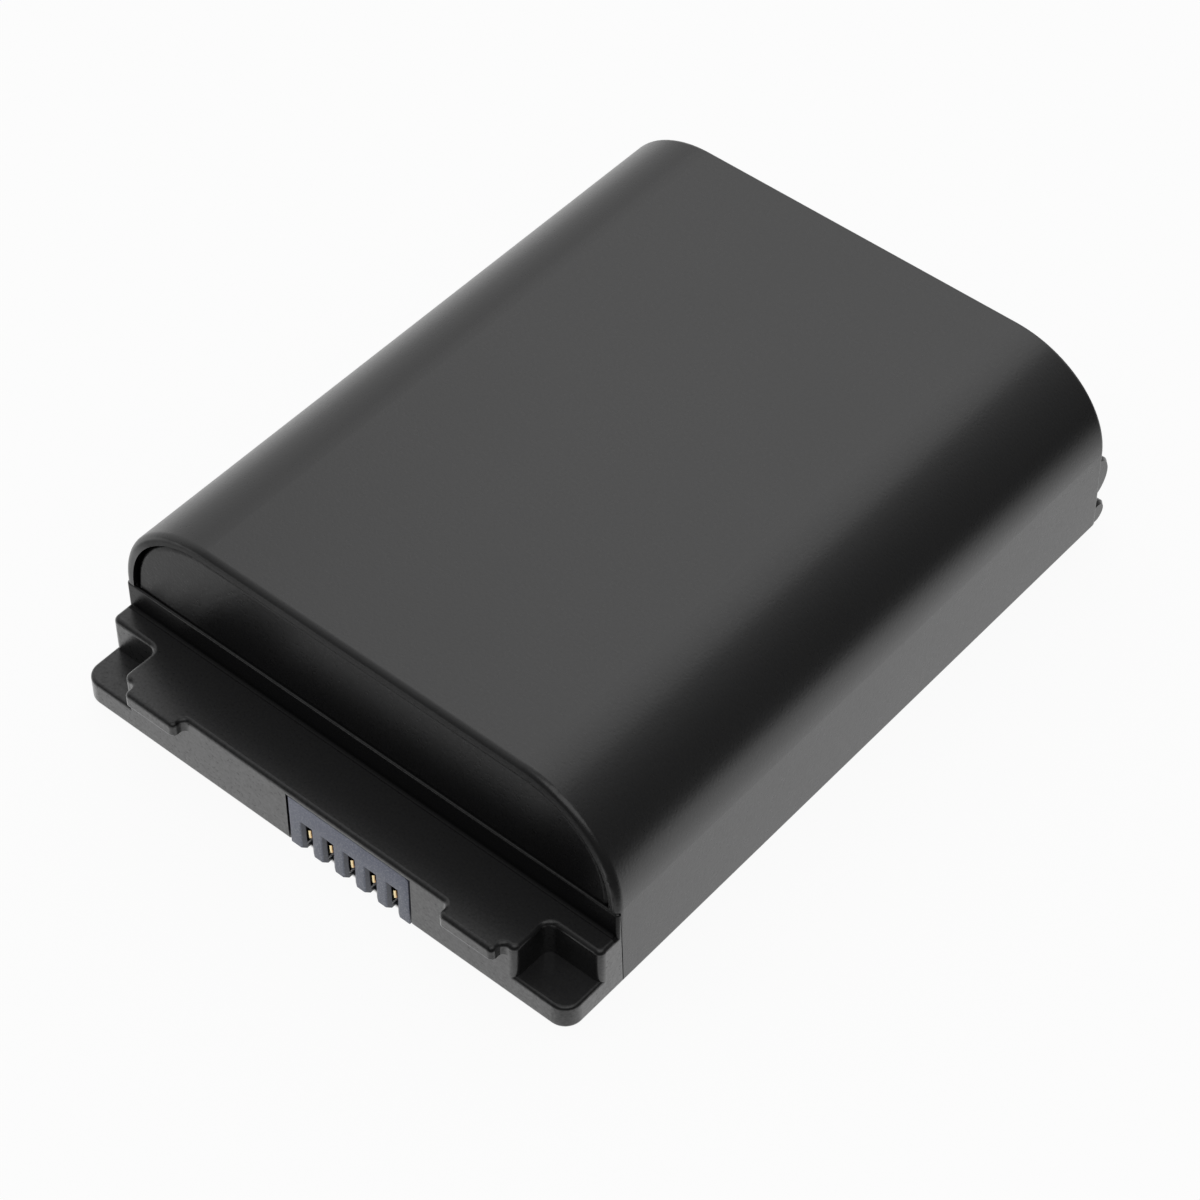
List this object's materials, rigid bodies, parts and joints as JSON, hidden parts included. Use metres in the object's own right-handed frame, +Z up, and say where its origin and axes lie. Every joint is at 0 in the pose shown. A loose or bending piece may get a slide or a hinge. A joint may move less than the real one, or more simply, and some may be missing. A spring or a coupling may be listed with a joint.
{
  "type": "barcode scanner battery",
  "caption": "Rechargeable battery pack for a hand-held barcode scanner: arched black shell on a stepped front block with corner notches, hook tabs and a comb of gold contacts.",
  "frame": {"origin": "below the middle of the whole pack, on the face it lies on", "axes": "+Y along the pack from the contact end to the rear, +Z up from the flat face it lies on, +X to the right seen from the contact end"},
  "size_m": [0.0574, 0.0796, 0.021],
  "materials": {
    "housing": "black, finely grained satin moulding",
    "connector": "smooth blue-grey moulding",
    "contact_gold": "bright gold plating",
    "cell_sleeve": "shrunk film sleeve",
    "insulating_paper": "pressed fish paper",
    "nickel": "rolled nickel strip",
    "foam": "closed-cell foam",
    "board": "green solder mask on glass epoxy",
    "chip": "moulded epoxy",
    "ceramic_body": "fired alumina",
    "thermistor_dip": "dipped epoxy"
  },
  "bodies": {
    "root": {"cover": "housing", "base": "housing", "connector_block": "connector", "contact_1": "contact_gold", "contact_2": "contact_gold", "contact_3": "contact_gold", "contact_4": "contact_gold", "contact_5": "contact_gold", "cell_left": "cell_sleeve", "cell_middle": "cell_sleeve", "cell_right": "cell_sleeve", "cell_ring_left": "insulating_paper", "cell_ring_middle": "insulating_paper", "cell_ring_right": "insulating_paper", "positive_strip": "nickel", "negative_strip": "nickel", "negative_lead": "nickel", "front_insulator": "insulating_paper", "rear_insulator": "insulating_paper", "rear_pad": "foam", "protection_board": "board", "protection_chip": "chip", "switch_chip": "chip", "fuse": "ceramic_body", "sense_resistor": "ceramic_body", "thermistor": "thermistor_dip"}
  },
  "joints": []
}
